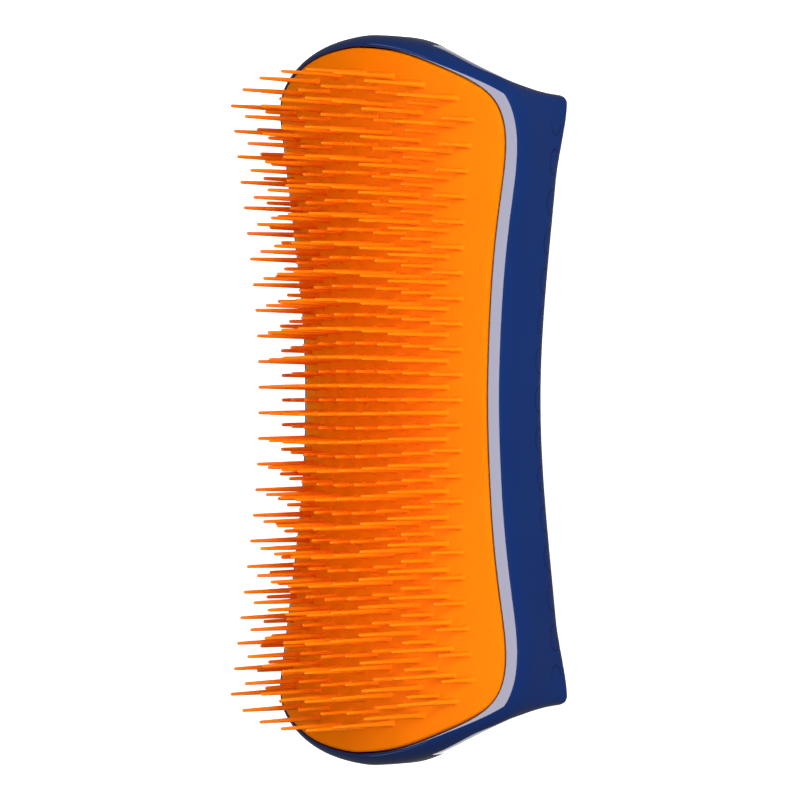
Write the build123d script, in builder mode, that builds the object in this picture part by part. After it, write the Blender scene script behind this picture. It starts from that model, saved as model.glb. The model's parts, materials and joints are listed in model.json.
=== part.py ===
"""Palm-held deshedding tool: a hollow housing with a domed, flexible pad of long and short teeth.

Millimetres. X is the long axis, Y the width and +Z the way the teeth point. The tool lies on its
back, so z = 0 is the lowest line of the housing. Every sub-part is symmetrical about X and Y.
"""
import os
from math import cos, exp, hypot, pi, sin, sqrt

from build123d import *

# Driving dimensions
CROWN_MID = 35.0        # height of the pad's crown at the waist
CROWN_RISE = 5.2        # how much higher the crown is near the ends
CROWN_PEAK_X = 70.0     # where the crown is highest
DOME_RADIUS = 55.0      # radius of the pad's arch across the width, at the waist
DOME_FLATTEN = 40.0     # how much that radius grows at the very ends
PAD_HALF_LENGTH = 84.8
PAD_HALF_WAIST = 30.75
PAD_FLARE = 0.00206     # growth of the half width, per mm of distance from the waist, squared
END_DRAW = 4.9          # how much the rounded ends are drawn in at their shoulders
PAD_THICKNESS = 2.4
SKIRT_DEPTH = 5.0
SKIRT_WIDTH = 1.6
FIT_GAP = 0.15          # clearance between the pad's skirt and the housing's lip
LIP_WIDTH = 3.2         # from the pad's edge to the outside of the housing
LIP_DROP = 0.9          # the lip lies this much lower than the pad's face
WALL = 2.6
BACK_HALF_LENGTH = 74.6
BACK_HALF_WAIST = 33.8
BACK_SPREAD = 5.8       # how much wider the back is near its ends
BACK_SQUARENESS = 80
BACK_ARCH = 3.0         # how much the back rises at the waist
BACK_RADIUS = 140.0     # convex radius of the back across the width, at the waist
BACK_FLATTEN = 20.0     # how much that radius grows at the ends
REST_LAND = 0.35        # depth of the flat land on which each end of the back stands
LEVEL_STEP = 7.0        # spacing of the housing's outlines, from above the lip down to z = 0
OUTLINE_COUNT = 64      # points round each outline

# Teeth: lattice, length above the pad, and radii at root and tip
ROW_PITCH = 6.83
ROW_PITCH_FADE = 0.0495
COLUMN_PITCH = 6.33
COLUMN_SPREAD = 0.00036
LONG_ROWS = 24
LONG_COLUMNS = 8
LONG_LENGTH = 19.4
LONG_RADII = (0.76, 0.38)
SHORT_ROWS = 23
SHORT_COLUMNS = 9
SHORT_LENGTH = 10.1
SHORT_RADII = (0.62, 0.42)
ROOT_SINK = 1.0         # length of each tooth inside the pad moulding


def dome_radius(x):
    """Radius of the arch across the width, at a distance x along the tool."""
    return DOME_RADIUS + DOME_FLATTEN * min(abs(x) / 85.0, 1.1) ** 8


def crown_height(x):
    """Height of the middle of the pad, at a distance x along the tool."""
    return CROWN_MID + CROWN_RISE * abs(sin(pi * x / (2 * CROWN_PEAK_X))) ** 2.5


def pad_height(x, y):
    """Height of the pad's face at a point."""
    radius = dome_radius(x)
    return crown_height(x) - radius + sqrt(radius**2 - y**2)


def back_height(x, y):
    """Height of the back at a point, before its ends are flattened."""
    fraction = min(abs(x) / 74.0, 1.0) ** 2
    radius = BACK_RADIUS + BACK_FLATTEN * fraction
    return BACK_ARCH * (1 - fraction) + radius - sqrt(radius**2 - y**2)


def pad_half_width(x):
    """Half the pad's width, at a distance x along the tool."""
    full = (PAD_HALF_WAIST + PAD_FLARE * x**2) * max(1 - (x / 84.9) ** 9, 0.0) ** 0.537
    return max(full - END_DRAW * exp(-(((x - 80.9) / 5.9) ** 2)), 0.3)


def back_half_width(x):
    """Half the back's width, at a distance x along the tool."""
    full = BACK_HALF_WAIST + BACK_SPREAD * (1 - exp(-((x / 44.0) ** 2)))
    return full * sqrt(max(1 - (x / BACK_HALF_LENGTH) ** BACK_SQUARENESS, 0.0))


def outline_points(half_length, half_width):
    """Points round an outline that is symmetrical about X and Y."""
    points = []
    for index in range(OUTLINE_COUNT):
        angle = 2 * pi * (index + 0.5) / OUTLINE_COUNT
        x = half_length * abs(sin(angle)) ** 0.4
        y = half_width(x)
        points.append((x if sin(angle) > 0 else -x, y if cos(angle) > 0 else -y))
    return points


def inset_points(points, distance):
    """A ring of points moved inward, square to itself."""
    moved = []
    for index, (x, y) in enumerate(points):
        before, after = points[index - 1], points[(index + 1) % len(points)]
        along_x, along_y = after[0] - before[0], after[1] - before[1]
        size = hypot(along_x, along_y)
        moved.append((x + distance * along_y / size, y - distance * along_x / size))
    return moved


def smooth(t):
    """Ease from 0 to 1."""
    t = min(max(t, 0.0), 1.0)
    return t * t * (3 - 2 * t)


def housing_points(height):
    """Points round the housing at a height: the pad's outline plus the lip, drawn in toward the back."""
    pad_edge = outline_points(PAD_HALF_LENGTH, pad_half_width)
    back_edge = outline_points(BACK_HALF_LENGTH, back_half_width)
    points = []
    for (x, y), edge, back in zip(inset_points(pad_edge, -LIP_WIDTH), pad_edge, back_edge):
        rim = pad_height(*edge) - 0.5
        depth = rim - back_height(*back)
        onset = 0.33 * (1 - smooth(abs(edge[1]) / 33.0))
        share = smooth(((rim - height) / depth - onset) / (1 - onset)) ** (1 + onset)
        points.append((x + (back[0] - x) * share, y + (back[1] - y) * share))
    return points


def dome_section(x, drop):
    """Corner points of the region under the pad's face, in a section across the width."""
    half = 50.0
    radius = dome_radius(x)
    top = crown_height(x) - drop
    side = top - radius + sqrt(radius**2 - half**2)
    return (-half, side), (0, top), (half, side)


def add_dome(drop):
    """Add everything that lies under the pad's face, lowered by drop, to the current part."""
    sections = []
    for x in (-96, -86, -78, -70, -55, -36, -18, 0, 18, 36, 55, 70, 78, 86, 96):
        left, middle, right = dome_section(x, drop)
        with BuildSketch(Plane((x, 0, 0), x_dir=(0, 1, 0), z_dir=(1, 0, 0))) as section:
            with BuildLine():
                ThreePointArc(left, middle, right)
                Polyline(right, (50, -30), (-50, -30), left)
            make_face()
        sections.append(section.sketch)
    loft(sections)


def add_levels(inset):
    """Add the housing's lofted body, drawn in by inset, to the current part."""
    sections = []
    for level in range(int(CROWN_MID / LEVEL_STEP) + 2):
        height = CROWN_MID + LEVEL_STEP * (1 - level)
        with BuildSketch(Plane.XY.offset(height)) as section:
            with BuildLine():
                Spline(*inset_points(housing_points(height), inset), periodic=True)
            make_face()
        sections.append(section.sketch)
    loft(sections)


def add_pad_prism(inset, bottom, top):
    """Add an upright prism with the pad's outline, drawn in by inset."""
    points = inset_points(outline_points(PAD_HALF_LENGTH, pad_half_width), inset)
    with BuildSketch(Plane.XY.offset(bottom)) as outline:
        with BuildLine():
            Spline(*points, periodic=True)
        make_face()
    extrude(outline.sketch, amount=top - bottom)


def tooth_positions(rows, columns):
    """Root positions on the pad's face, in rows that bow outward in the middle of the pad."""
    positions = []
    for row in range(rows):
        for column in range(columns):
            along = row - (rows - 1) / 2
            across = column - (columns - 1) / 2
            x = along * (ROW_PITCH - ROW_PITCH_FADE * across**2)
            y = across * (COLUMN_PITCH + COLUMN_SPREAD * x**2)
            positions.append((x, y, pad_height(x, y)))
    return positions


# Regions that lie under the pad's face, at several depths
with BuildPart() as pad_face:
    add_dome(0)

with BuildPart() as pad_underside:
    add_dome(PAD_THICKNESS)

with BuildPart() as skirt_end:
    add_dome(SKIRT_DEPTH)

with BuildPart() as lip_face:
    add_dome(LIP_DROP)

# The back: rises at the waist and bulges across the width
with BuildPart() as back_region:
    for x in (-100, -72, -48, -24, 0, 24, 48, 72, 100):
        rise = back_height(x, 0.0) - REST_LAND
        side = back_height(x, 50.0) - REST_LAND
        with BuildSketch(Plane((x, 0, 0), x_dir=(0, 1, 0), z_dir=(1, 0, 0))):
            with BuildLine():
                ThreePointArc((-50, side), (0, rise), (50, side))
                Polyline((50, side), (50, 90), (-50, 90), (-50, side))
            make_face()
    loft()

# Hollow inside of the housing, open at the top under the pad
with BuildPart() as cavity:
    add_levels(WALL)
    add(Pos(0, 0, WALL) * back_region.part, mode=Mode.INTERSECT)

with BuildPart() as pad_seat:
    add_pad_prism(-FIT_GAP, 0, 60)
    add(skirt_end.part, mode=Mode.SUBTRACT)

with BuildPart() as housing_shell:
    add_levels(0)
    add(back_region.part, mode=Mode.INTERSECT)
    add(lip_face.part, mode=Mode.INTERSECT)
    add(cavity.part, mode=Mode.SUBTRACT)
    add(pad_seat.part, mode=Mode.SUBTRACT)
housing_shell.part.label = "housing_shell"

# Flexible pad: a domed sheet with a downturned skirt that stands on the housing's ledge
with BuildPart() as pad_inside:
    add_pad_prism(SKIRT_WIDTH, 0, 60)
    add(pad_underside.part, mode=Mode.INTERSECT)

with BuildPart() as tooth_pad:
    add_pad_prism(0, 0, 60)
    add(pad_face.part, mode=Mode.INTERSECT)
    add(skirt_end.part, mode=Mode.SUBTRACT)
    add(pad_inside.part, mode=Mode.SUBTRACT)
tooth_pad.part.label = "tooth_pad"


def add_tooth(length, radii):
    """Add one tapered tooth with a rounded tip, standing at the origin, to the current part."""
    root, tip = radii
    with BuildSketch(Plane.XZ) as profile:
        with BuildLine():
            Line((0, -ROOT_SINK), (root, -ROOT_SINK))
            Line((root, -ROOT_SINK), (root, 0))
            Line((root, 0), (tip, length - tip))
            RadiusArc((tip, length - tip), (0, length), -tip)
            Line((0, length), (0, -ROOT_SINK))
        make_face()
    revolve(profile.sketch, axis=Axis.Z)


with BuildPart() as long_tooth:
    add_tooth(LONG_LENGTH, LONG_RADII)

with BuildPart() as short_tooth:
    add_tooth(SHORT_LENGTH, SHORT_RADII)

with BuildPart() as long_teeth:
    with Locations(*tooth_positions(LONG_ROWS, LONG_COLUMNS)):
        add(long_tooth.part)
long_teeth.part.label = "long_teeth"

with BuildPart() as short_teeth:
    with Locations(*tooth_positions(SHORT_ROWS, SHORT_COLUMNS)):
        add(short_tooth.part)
short_teeth.part.label = "short_teeth"

os.makedirs("parts", exist_ok=True)
export_step(housing_shell.part, "parts/housing_shell.step")
export_step(tooth_pad.part, "parts/tooth_pad.step")
export_step(long_teeth.part, "parts/long_teeth.step")
export_step(short_teeth.part, "parts/short_teeth.step")
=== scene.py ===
"""Looks of a palm-held deshedding tool: a glossy housing and a domed orange pad of long and short teeth.

Shapes are worked out in millimetres in the row frame (X along the tool, Y across it, +Z the way the
teeth point) and turned into metres when a mesh is made. Materials, lights and camera are in metres.
"""
import json
import bpy
import numpy as np
from mathutils import Matrix, Vector

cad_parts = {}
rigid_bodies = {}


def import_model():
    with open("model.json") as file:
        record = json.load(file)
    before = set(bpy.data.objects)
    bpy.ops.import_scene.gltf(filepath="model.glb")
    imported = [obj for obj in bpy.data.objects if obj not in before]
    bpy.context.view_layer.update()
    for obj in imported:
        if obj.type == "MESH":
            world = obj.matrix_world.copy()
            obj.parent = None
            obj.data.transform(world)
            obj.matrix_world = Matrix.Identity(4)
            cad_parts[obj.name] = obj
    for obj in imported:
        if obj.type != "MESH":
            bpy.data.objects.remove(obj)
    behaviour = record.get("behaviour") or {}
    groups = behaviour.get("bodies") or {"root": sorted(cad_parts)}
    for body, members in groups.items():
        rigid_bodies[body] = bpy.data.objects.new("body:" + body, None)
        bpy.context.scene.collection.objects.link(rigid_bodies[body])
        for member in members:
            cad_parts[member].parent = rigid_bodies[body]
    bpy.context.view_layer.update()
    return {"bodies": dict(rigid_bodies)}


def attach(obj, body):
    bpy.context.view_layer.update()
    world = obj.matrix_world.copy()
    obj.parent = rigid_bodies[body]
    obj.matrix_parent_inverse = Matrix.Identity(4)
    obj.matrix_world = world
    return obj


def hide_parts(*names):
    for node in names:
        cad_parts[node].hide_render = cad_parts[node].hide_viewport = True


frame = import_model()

MM = 0.001

# ---------------------------------------------------------------- sizes, in millimetres

# Pad: its domed surface and its waisted outline
CROWN_MID = 35.0           # height of the crown at the waist
CROWN_RISE = 5.2           # extra height of its two high points
CROWN_PEAKS_APART = 140.0
CROWN_SHARPNESS = 2.5
DOME_RADIUS = 55.0         # across the waist
DOME_FLATTEN = 40.0        # added to the radius at the ends
DOME_REACH = 85.0
PAD_HALF_LENGTH = 84.82
PAD_HALF_WAIST = 30.75
PAD_FLARE = 0.00206        # widening with the square of the distance from the waist
PAD_END = 84.9             # where the outline closes, and how round it is there
PAD_END_POWER = 9
PAD_END_ROUND = 0.537
END_DRAW = 4.9             # how far the ends are drawn in, where, and over what length
END_DRAW_AT = 80.9
END_DRAW_OVER = 5.9

# Back: arched along the tool and rounded across it, with square ends
BACK_HALF_LENGTH = 74.6
BACK_HALF_WAIST = 33.8
BACK_SPREAD = 5.8          # widening away from the waist, and the length it takes
BACK_SPREAD_OVER = 44.0
BACK_SQUARENESS = 110
BACK_ARCH = 3.0            # clearance under the waist
BACK_REST = 74.0           # where the back reaches the ground
BACK_RADIUS = 140.0
BACK_FLATTEN = 20.0        # added to the radius at the ends

# Housing: lip, shoulder, wall and bottom edge
GAP = 0.35                 # dark gap between pad and lip
RIM_BELOW_PAD = 0.5
LIP_RINGS = ((0.0, 6.0), (0.0, 0.6), (0.03, 0.3), (0.12, 0.08))   # distance past the gap, depth under the rim
LIP_EDGE = 0.2             # distance past the gap where the shoulder starts
SHOULDER_DROPS = (0.0, 0.02, 0.08, 0.18, 0.32, 0.5, 0.75, 1.05, 1.4, 1.8, 2.3, 2.9, 3.6, 4.4, 5.3)
SHOULDER_END = 2.9         # how far the shoulder stands out at an end
SHOULDER_SIDE = 3.1        # and along a side, at the waist
SHOULDER_SIDE_GROW = 0.5   # added toward the corners
SHOULDER_FALL = 2.1        # depth of the shoulder, in its own widths
SHOULDER_ROUND = 0.68
WALL_ONSET = 0.33          # share of an end's depth that stays upright
WALL_BOW = 0.3             # how much more the corners are hollowed
WALL_RINGS = 21
FILLET_END = 1.2           # radius of the bottom edge at an end
FILLET_SIDE_GROW = 3.3     # added along a side

# Teeth: a lattice whose rows close up and whose columns spread toward the ends
ROW_PITCH = 6.83
ROW_PITCH_FADE = 0.0495
COLUMN_PITCH = 6.33
COLUMN_SPREAD = 0.00036
LONG_TEETH = dict(rows=24, columns=8, length=19.4, root=0.70, tip=0.38)
SHORT_TEETH = dict(rows=23, columns=9, length=10.1, root=0.56, tip=0.42)
ROOT_FLARE = ((0.35, -0.35), (0.22, 0.1), (0.14, 0.4), (0.06, 0.9), (0.0, 1.7))   # extra radius, height
ROOT_FOLLOWS_PAD = 1.0     # height under which a root follows the slope of the pad

# Fineness of the meshes
DENSE = 8000               # points along a quarter outline before it is divided evenly
AROUND = 150               # divisions of a quarter outline
BACK_RINGS = 40
PAD_RINGS = 60
TOOTH_SIDES = 14


def crown_height(x):
    return CROWN_MID + CROWN_RISE * np.abs(np.sin(np.pi * x / CROWN_PEAKS_APART)) ** CROWN_SHARPNESS


def pad_height(x, y):
    radius = DOME_RADIUS + DOME_FLATTEN * np.minimum(np.abs(x) / DOME_REACH, 1.1) ** 8
    return crown_height(x) - radius + np.sqrt(np.maximum(radius**2 - y**2, 1.0))


def back_height(x, y):
    fraction = np.minimum(np.abs(x) / BACK_REST, 1.0) ** 2
    radius = BACK_RADIUS + BACK_FLATTEN * fraction
    return BACK_ARCH * (1 - fraction) + radius - np.sqrt(radius**2 - y**2)


def pad_half_width(x):
    """Half the pad's width: waisted, widest near the ends, and drawn in to rounded ends."""
    closing = np.maximum(1 - (x / PAD_END) ** PAD_END_POWER, 0.0) ** PAD_END_ROUND
    drawn_in = END_DRAW * np.exp(-(((x - END_DRAW_AT) / END_DRAW_OVER) ** 2))
    width = (PAD_HALF_WAIST + PAD_FLARE * x**2) * closing - drawn_in
    return np.where(x < PAD_HALF_LENGTH, np.maximum(width, 0.0), 0.0)


def back_half_width(x):
    """Half the back's width: it flares less than the pad, and its ends are square with tight corners."""
    closing = np.maximum(1 - (x / BACK_HALF_LENGTH) ** BACK_SQUARENESS, 0.0) ** 0.5
    return (BACK_HALF_WAIST + BACK_SPREAD * (1 - np.exp(-((x / BACK_SPREAD_OVER) ** 2)))) * closing


def outline(half_length, half_width):
    """A closed ring of points, evenly spaced round an outline that is symmetrical about X and Y."""
    dense = half_length * (1 - np.linspace(1, 0, DENSE) ** 3)
    width = half_width(dense)
    length = np.concatenate([[0], np.cumsum(np.hypot(np.diff(dense), np.diff(width)))])
    places = np.linspace(0, length[-1], AROUND + 1)
    x, y = np.interp(places, length, dense), np.interp(places, length, width)
    ring_x = np.concatenate([-x[:-1], -x[:0:-1], x[:-1], x[:0:-1]])
    ring_y = np.concatenate([y[:-1], -y[:0:-1], -y[:-1], y[:0:-1]])
    return ring_x, ring_y


def offset(x, y, distance):
    """A ring moved outward, square to itself, by one distance or by one for each point."""
    along_x = np.roll(x, -1) - np.roll(x, 1)
    along_y = np.roll(y, -1) - np.roll(y, 1)
    size = np.hypot(along_x, along_y)
    return x + distance * along_y / size, y - distance * along_x / size


def smooth(value, start, over):
    """Rises smoothly from 0 at the start to 1 over the given distance."""
    t = np.clip((value - start) / over, 0.0, 1.0)
    return t * t * (3 - 2 * t)


def make_mesh(name, points, faces):
    """A smooth-shaded object from points in millimetres."""
    mesh = bpy.data.meshes.new(name)
    mesh.from_pydata([tuple(p) for p in np.asarray(points) * MM], [], faces)
    mesh.validate()
    mesh.shade_smooth()
    mesh.update()
    piece = bpy.data.objects.new(name, mesh)
    bpy.context.collection.objects.link(piece)
    return piece


def skin(name, rings):
    """A piece whose surface runs through closed rings, the last one capped."""
    count = len(rings[0][0])
    points = np.concatenate([np.stack(ring, axis=1) for ring in rings])
    faces = []
    for row in range(len(rings) - 1):
        for i in range(count):
            j = (i + 1) % count
            faces.append((row * count + i, (row + 1) * count + i, (row + 1) * count + j, row * count + j))
    faces.append(tuple((len(rings) - 1) * count + i for i in range(count)))
    return make_mesh(name, points, faces)


# ---------------------------------------------------------------- housing


def housing_rings():
    """Rings from inside the gap, over the lip and the shoulder, down the wall and round its bottom edge."""
    edge = outline(PAD_HALF_LENGTH, pad_half_width)
    from_waist, from_axis = np.abs(edge[0]), np.abs(edge[1])
    rim = pad_height(*edge) - RIM_BELOW_PAD
    back_edge = outline(BACK_HALF_LENGTH, back_half_width)
    depth = rim - back_height(*back_edge)

    side = smooth(from_axis, 14.0, 20.0)          # 0 in the middle of an end, 1 along a side
    side_spread = SHOULDER_SIDE + SHOULDER_SIDE_GROW * smooth(from_waist, 20.0, 45.0)
    spread = SHOULDER_END * (1 - side) + side * side_spread
    fillet = FILLET_END + FILLET_SIDE_GROW * side * (1 - smooth(from_waist, 52.0, 18.0))
    onset = WALL_ONSET * (1 - smooth(from_axis, 0.0, 33.0))
    bow = 1.0 + onset - WALL_BOW * side * smooth(from_waist, 50.0, 25.0)

    def wall(drop):
        """Plan of the wall at a depth under the rim: the shoulder's outline, passing into the back's."""
        bend = np.clip(drop / (SHOULDER_FALL * spread), 0, 1)
        out = GAP + LIP_EDGE + spread * np.maximum(1 - (1 - bend) ** 2, 0) ** SHOULDER_ROUND
        x, y = offset(*edge, out)
        share = smooth(drop / depth, onset, 1 - onset) ** bow
        return x + (back_edge[0] - x) * share, y + (back_edge[1] - y) * share

    rings = [(*offset(*edge, GAP + out), rim - drop) for out, drop in LIP_RINGS]
    rings += [(*wall(drop), rim - drop) for drop in SHOULDER_DROPS]
    shoulder = SHOULDER_DROPS[-1]
    for step in np.linspace(0, 1, WALL_RINGS + 1)[1:]:
        drop = shoulder + (depth - fillet - shoulder) * step
        rings.append((*wall(drop), rim - drop))
    for angle in np.radians(np.arange(10, 91, 10)):
        above = fillet * (1 - np.sin(angle))
        x, y = offset(*wall(depth - above), -fillet * (1 - np.cos(angle)))
        rings.append((x, y, back_height(x, y) + above))
    return rings


def back_rings(last):
    """Rings that close the back inward from the wall's last ring."""
    rings = []
    for factor in np.linspace(1, 0.02, BACK_RINGS)[1:]:
        x, y = last[0] * factor, last[1] * factor
        rings.append((x, y, back_height(x, y)))
    return rings


walls = housing_rings()
housing = skin("housing", walls + back_rings(walls[-1]))

# ---------------------------------------------------------------- pad


def pad_rings():
    """Rings up the pad's edge in the gap, over its rounded rim and in across the dome."""
    edge = outline(PAD_HALF_LENGTH, pad_half_width)
    rings = []
    for inset, drop in ((0.0, 5.0), (0.0, 0.75), (0.06, 0.45), (0.22, 0.2), (0.5, 0.05), (0.9, 0.0)):
        x, y = offset(*edge, -inset)
        rings.append((x, y, pad_height(x, y) - drop))
    for factor in np.linspace(0.94, 0.01, PAD_RINGS):
        x, y = edge[0] * factor, edge[1] * factor
        rings.append((x, y, pad_height(x, y)))
    return rings


pad = skin("pad", pad_rings())

# ---------------------------------------------------------------- teeth


def tooth_positions(rows, columns):
    """Where the teeth of one lattice stand on the pad."""
    places = []
    for row in range(rows):
        for column in range(columns):
            along = row - (rows - 1) / 2
            across = column - (columns - 1) / 2
            x = along * (ROW_PITCH - ROW_PITCH_FADE * across**2)
            y = across * (COLUMN_PITCH + COLUMN_SPREAD * x**2)
            places.append((x, y, float(pad_height(x, y))))
    return places


def tooth_profile(length, root, tip):
    """Radius and height up one tooth: a flared root, a straight taper and a rounded tip."""
    profile = [(root + extra, height) for extra, height in ROOT_FLARE]
    taper = profile[-1][1]
    for share in (0.25, 0.5, 0.75):
        profile.append((root + (tip - root) * share, taper + (length - tip - taper) * share))
    for angle in np.radians((0, 30, 55, 75)):
        profile.append((tip * np.cos(angle), length - tip + tip * np.sin(angle)))
    return profile


def teeth(name, rows, columns, length, root, tip):
    """All the teeth of one lattice, as one mesh."""
    profile = tooth_profile(length, root, tip)
    turn = np.linspace(0, 2 * np.pi, TOOTH_SIDES, endpoint=False)
    points, faces = [], []
    for x, y, z in tooth_positions(rows, columns):
        base = len(points)
        for radius, height in profile:
            for angle in turn:
                px, py = x + radius * np.cos(angle), y + radius * np.sin(angle)
                lift = float(pad_height(px, py)) - z if height < ROOT_FOLLOWS_PAD else 0.0
                points.append((px, py, z + height + lift))
        points.append((x, y, z + length))
        for ring in range(len(profile)):
            a = base + ring * TOOTH_SIDES
            for i in range(TOOTH_SIDES):
                j = (i + 1) % TOOTH_SIDES
                if ring < len(profile) - 1:
                    faces.append((a + i, a + j, a + TOOTH_SIDES + j, a + TOOTH_SIDES + i))
                else:
                    faces.append((a + i, a + j, a + TOOTH_SIDES))
    return make_mesh(name, points, faces)


long_teeth = teeth("teeth_long", **LONG_TEETH)
short_teeth = teeth("teeth_short", **SHORT_TEETH)

# ---------------------------------------------------------------- materials

# Sockets of a Mix node that mixes colours
MIX_FACTOR, MIX_FIRST, MIX_SECOND, MIX_RESULT = 0, 6, 7, 2

# The row of ovals on the housing's long walls
OVAL_HALF_PITCH = 0.00475
OVAL_HALF_LENGTH = 0.0030
OVAL_HALF_HEIGHT = 0.0018
OVAL_LEVEL = 0.0097        # height of the row above the ground
OVAL_REACH = 0.066         # distance from the waist at which the row stops
OVAL_LINE = 0.10           # half the width of the line, as a share of the oval


def new_material(name):
    material = bpy.data.materials.new(name)
    material.use_nodes = True
    nodes = material.node_tree.nodes
    return material, nodes, material.node_tree.links, nodes["Principled BSDF"]


def object_position(nodes):
    return nodes.new("ShaderNodeTexCoord").outputs["Object"]


def add_noise(nodes, links, scale, detail):
    noise = nodes.new("ShaderNodeTexNoise")
    noise.inputs["Scale"].default_value = scale
    noise.inputs["Detail"].default_value = detail
    links.new(object_position(nodes), noise.inputs["Vector"])
    return noise.outputs["Fac"]


def ramp(nodes, links, noise, low, high):
    """Turns the middle range of a noise into a run between two values or colours."""
    node = nodes.new("ShaderNodeValToRGB")
    for element, place, value in zip(node.color_ramp.elements, (0.3, 0.7), (low, high)):
        element.position = place
        element.color = (value, value, value, 1) if isinstance(value, float) else (*value, 1)
    links.new(noise, node.inputs["Fac"])
    return node.outputs["Color"]


def bump(nodes, links, shader, height, strength, distance):
    """Adds relief to the shader, on top of any that it has."""
    node = nodes.new("ShaderNodeBump")
    node.inputs["Strength"].default_value = strength
    node.inputs["Distance"].default_value = distance
    links.new(height, node.inputs["Height"])
    if shader.inputs["Normal"].is_linked:
        links.new(shader.inputs["Normal"].links[0].from_socket, node.inputs["Normal"])
    links.new(node.outputs["Normal"], shader.inputs["Normal"])


def math_node(nodes, links, operation, *values):
    """The result of one operation on sockets and plain numbers."""
    node = nodes.new("ShaderNodeMath")
    node.operation = operation
    for socket, value in zip(node.inputs, values):
        if isinstance(value, bpy.types.NodeSocket):
            links.new(value, socket)
        else:
            socket.default_value = value
    return node.outputs["Value"]


def emboss(nodes, links, shader):
    """A row of faint raised ovals, drawn as thin outlines with painted shade, along the lower part of each long
    wall.
    """
    place = nodes.new("ShaderNodeSeparateXYZ")
    links.new(object_position(nodes), place.inputs["Vector"])
    along = math_node(nodes, links, "PINGPONG", place.outputs["X"], OVAL_HALF_PITCH)
    above = math_node(nodes, links, "SUBTRACT", place.outputs["Z"], OVAL_LEVEL)
    oval = nodes.new("ShaderNodeCombineXYZ")
    links.new(math_node(nodes, links, "MULTIPLY", along, 1 / OVAL_HALF_LENGTH), oval.inputs["X"])
    links.new(math_node(nodes, links, "MULTIPLY", above, 1 / OVAL_HALF_HEIGHT), oval.inputs["Y"])
    size = nodes.new("ShaderNodeVectorMath")
    size.operation = "LENGTH"
    links.new(oval.outputs["Vector"], size.inputs[0])
    line = math_node(nodes, links, "COMPARE", size.outputs["Value"], 1.0, OVAL_LINE)
    inside = math_node(nodes, links, "COMPARE", place.outputs["X"], 0.0, OVAL_REACH)
    drawn = math_node(nodes, links, "MULTIPLY", line, inside)
    # The outlines' base colour is multiplied darker: painted shade of the raised lines, on top of their bump
    painted_outline_shade = nodes.new("ShaderNodeMix")
    painted_outline_shade.data_type = "RGBA"
    painted_outline_shade.blend_type = "MULTIPLY"
    painted_outline_shade.inputs[MIX_SECOND].default_value = (0.50, 0.58, 0.66, 1)
    links.new(drawn, painted_outline_shade.inputs[MIX_FACTOR])
    links.new(shader.inputs["Base Color"].links[0].from_socket, painted_outline_shade.inputs[MIX_FIRST])
    links.new(painted_outline_shade.outputs[MIX_RESULT], shader.inputs["Base Color"])
    bump(nodes, links, shader, drawn, 1.0, 0.0003)


def housing_material():
    """Polished moulded plastic with a trace of flow in its colour and gloss."""
    material, nodes, links, shader = new_material("polished_blue")
    flow = add_noise(nodes, links, scale=14.0, detail=2.0)
    links.new(ramp(nodes, links, flow, (0.0028, 0.019, 0.112), (0.0038, 0.025, 0.134)), shader.inputs["Base Color"])
    grain = add_noise(nodes, links, scale=900.0, detail=2.0)
    links.new(ramp(nodes, links, grain, 0.04, 0.07), shader.inputs["Roughness"])
    bump(nodes, links, shader, grain, strength=0.03, distance=0.00002)
    emboss(nodes, links, shader)
    shader.inputs["IOR"].default_value = 1.6
    return material


def orange_material(name, low, high, gloss_level):
    """Soft translucent moulded plastic with a fine satin skin."""
    material, nodes, links, shader = new_material(name)
    flow = add_noise(nodes, links, scale=25.0, detail=3.0)
    links.new(ramp(nodes, links, flow, low, high), shader.inputs["Base Color"])
    grain = add_noise(nodes, links, scale=1500.0, detail=3.0)
    links.new(ramp(nodes, links, grain, 0.40, 0.52), shader.inputs["Roughness"])
    bump(nodes, links, shader, grain, strength=0.06, distance=0.00004)
    shader.inputs["IOR"].default_value = 1.45
    shader.inputs["Specular IOR Level"].default_value = gloss_level
    shader.inputs["Subsurface Weight"].default_value = 0.2
    shader.inputs["Subsurface Radius"].default_value = (1.0, 0.35, 0.05)
    shader.inputs["Subsurface Scale"].default_value = 0.002
    return material


housing_finish = housing_material()
# The teeth get a lighter orange than the pad: painted light, lit teeth standing over the shaded pad between them
pad_finish = orange_material("orange_pad", (0.90, 0.185, 0.0005), (0.95, 0.207, 0.0007), gloss_level=0.01)
lit_tooth_finish = orange_material("orange_teeth", (0.96, 0.208, 0.0008), (1.0, 0.232, 0.0011), gloss_level=0.16)

BODY = next(iter(frame["bodies"]))
for piece, node, slot, finish in (
    (housing, "housing_shell", "housing", housing_finish),
    (pad, "tooth_pad", "pad", pad_finish),
    (long_teeth, "long_teeth", "long_teeth", lit_tooth_finish),
    (short_teeth, "short_teeth", "short_teeth", lit_tooth_finish),
):
    piece.data.materials.append(finish)
    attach(piece, BODY)
    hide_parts(node)

# ---------------------------------------------------------------- floor

FLOOR_REACH = 6000         # millimetres
FLOOR_LEVEL = -0.05
GLINT_LEVEL = 0.02
GLINT_FROM_Y, GLINT_TO_Y = -20, 6


def rectangle(name, from_x, to_x, from_y, to_y, level, glow):
    """A flat matt white rectangle, in millimetres, that gives off a little light."""
    corners = [(from_x, from_y, level), (to_x, from_y, level), (to_x, to_y, level), (from_x, to_y, level)]
    sheet = make_mesh(name, corners, [(0, 1, 2, 3)])
    material, nodes, links, shader = new_material(name)
    shader.inputs["Base Color"].default_value = (0.8, 0.8, 0.8, 1)
    shader.inputs["Roughness"].default_value = 0.9
    shader.inputs["Specular IOR Level"].default_value = 0.0
    shader.inputs["Emission Color"].default_value = (1, 1, 1, 1)
    shader.inputs["Emission Strength"].default_value = glow
    sheet.data.materials.append(material)
    return sheet


floor = rectangle("floor", -FLOOR_REACH, FLOOR_REACH, -FLOOR_REACH, FLOOR_REACH, FLOOR_LEVEL, glow=0.9)
floor.visible_glossy = False
floor.visible_diffuse = False

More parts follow.
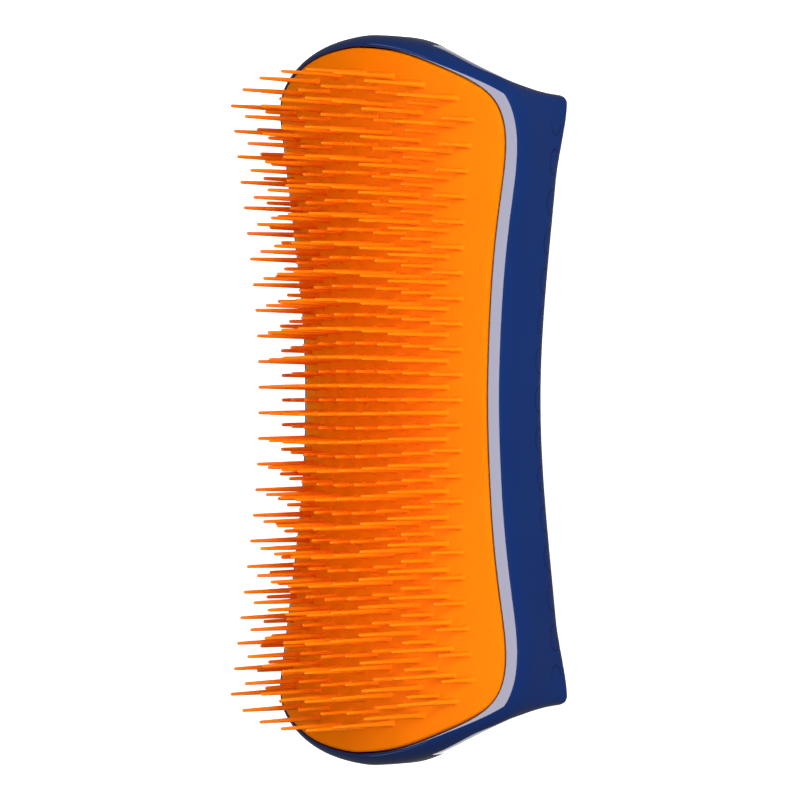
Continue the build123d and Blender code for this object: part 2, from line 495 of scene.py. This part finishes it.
# Bright patches just past each end, seen only where the rim of the housing mirrors them as a thin line
for name, near, far, glow in (("floor_glint_a", 79, 118, 0.3), ("floor_glint_b", -118, -79, 1.2)):
    glint = rectangle(name, near, far, GLINT_FROM_Y, GLINT_TO_Y, GLINT_LEVEL, glow)
    glint.visible_camera = False
    glint.visible_diffuse = False
    glint.visible_shadow = False

# ---------------------------------------------------------------- lights

CENTRE = Vector((0, 0, CROWN_MID * MM))

world = bpy.data.worlds.new("studio")
bpy.context.scene.world = world
world.use_nodes = True
background = world.node_tree.nodes["Background"]
background.inputs["Color"].default_value = (1, 1, 1, 1)
background.inputs["Strength"].default_value = 0.12


def area_light(name, direction, distance, size, power, colour=(1, 1, 1)):
    """A rectangular soft light that faces the tool, its first size along X."""
    data = bpy.data.lights.new(name, "AREA")
    data.shape = "RECTANGLE"
    data.size, data.size_y = size
    data.energy = power
    data.color = colour
    light = bpy.data.objects.new(name, data)
    back = Vector(direction).normalized()
    along = Vector((1, 0, 0))
    up = back.cross(along).normalized()
    along = up.cross(back).normalized()
    turn = Matrix((along, up, back)).transposed().to_4x4()
    light.matrix_world = Matrix.Translation(CENTRE + back * distance) @ turn
    bpy.context.collection.objects.link(light)
    return light


# A large softbox that only reflections show, slid in its own plane: its lower edge bounds the band on the lip
side_glow = area_light("side_softbox", (0, -1, 1), 0.9, (1.3, 3.24), 107.0, (1.0, 0.92, 0.88))
side_glow.location += Vector((0, 0.76, 0.76))
side_glow.visible_diffuse = False

# Soft light that reflections don't show
for name, direction, distance, size, power in (
    ("key_softbox", (0.16, -0.94, 0.31), 1.2, (1.0, 0.6), 19.0),
    ("top_softbox", (0.25, 0.1, 1.0), 1.3, (1.0, 1.0), 5.6),
    ("rear_softbox", (0.0, 0.85, 0.5), 1.3, (1.2, 0.8), 4.0),
):
    area_light(name, direction, distance, size, power).visible_glossy = False

# Narrow lights past each end, for the thin lines on the rim; only reflections show them
for end, power in ((1, 0.25), (-1, 0.15)):
    strip = area_light("end_strip", (end * 0.84, 0.30, 0.46), 0.9, (0.04, 0.6), power, (0.75, 0.85, 1.0))
    strip.visible_diffuse = False

# ---------------------------------------------------------------- camera

VIEW_ANGLE = np.radians(45.0)   # between the line of sight and straight down, about X
DISTANCE = 1.080
SLIDE = 0.00821                 # sideways, which centres the teeth and housing together in the picture
PICTURE_WIDTH = 800.0           # pixels
FOCAL = 4471.0                  # focal length in the same pixels
SENSOR_WIDTH = 36.0             # millimetres

right = Vector((0, -np.cos(VIEW_ANGLE), -np.sin(VIEW_ANGLE)))
up = Vector((1, 0, 0))
toward = Vector((0, -np.sin(VIEW_ANGLE), np.cos(VIEW_ANGLE)))
camera_data = bpy.data.cameras.new("camera")
camera_data.sensor_width = SENSOR_WIDTH
camera_data.lens = FOCAL / PICTURE_WIDTH * SENSOR_WIDTH
camera_data.clip_end = 30.0
camera = bpy.data.objects.new("camera", camera_data)
turn = Matrix((right, up, toward)).transposed().to_4x4()
camera.matrix_world = Matrix.Translation(CENTRE + right * SLIDE + toward * DISTANCE) @ turn
bpy.context.collection.objects.link(camera)
bpy.context.scene.camera = camera
bpy.context.scene.view_settings.view_transform = "Standard"
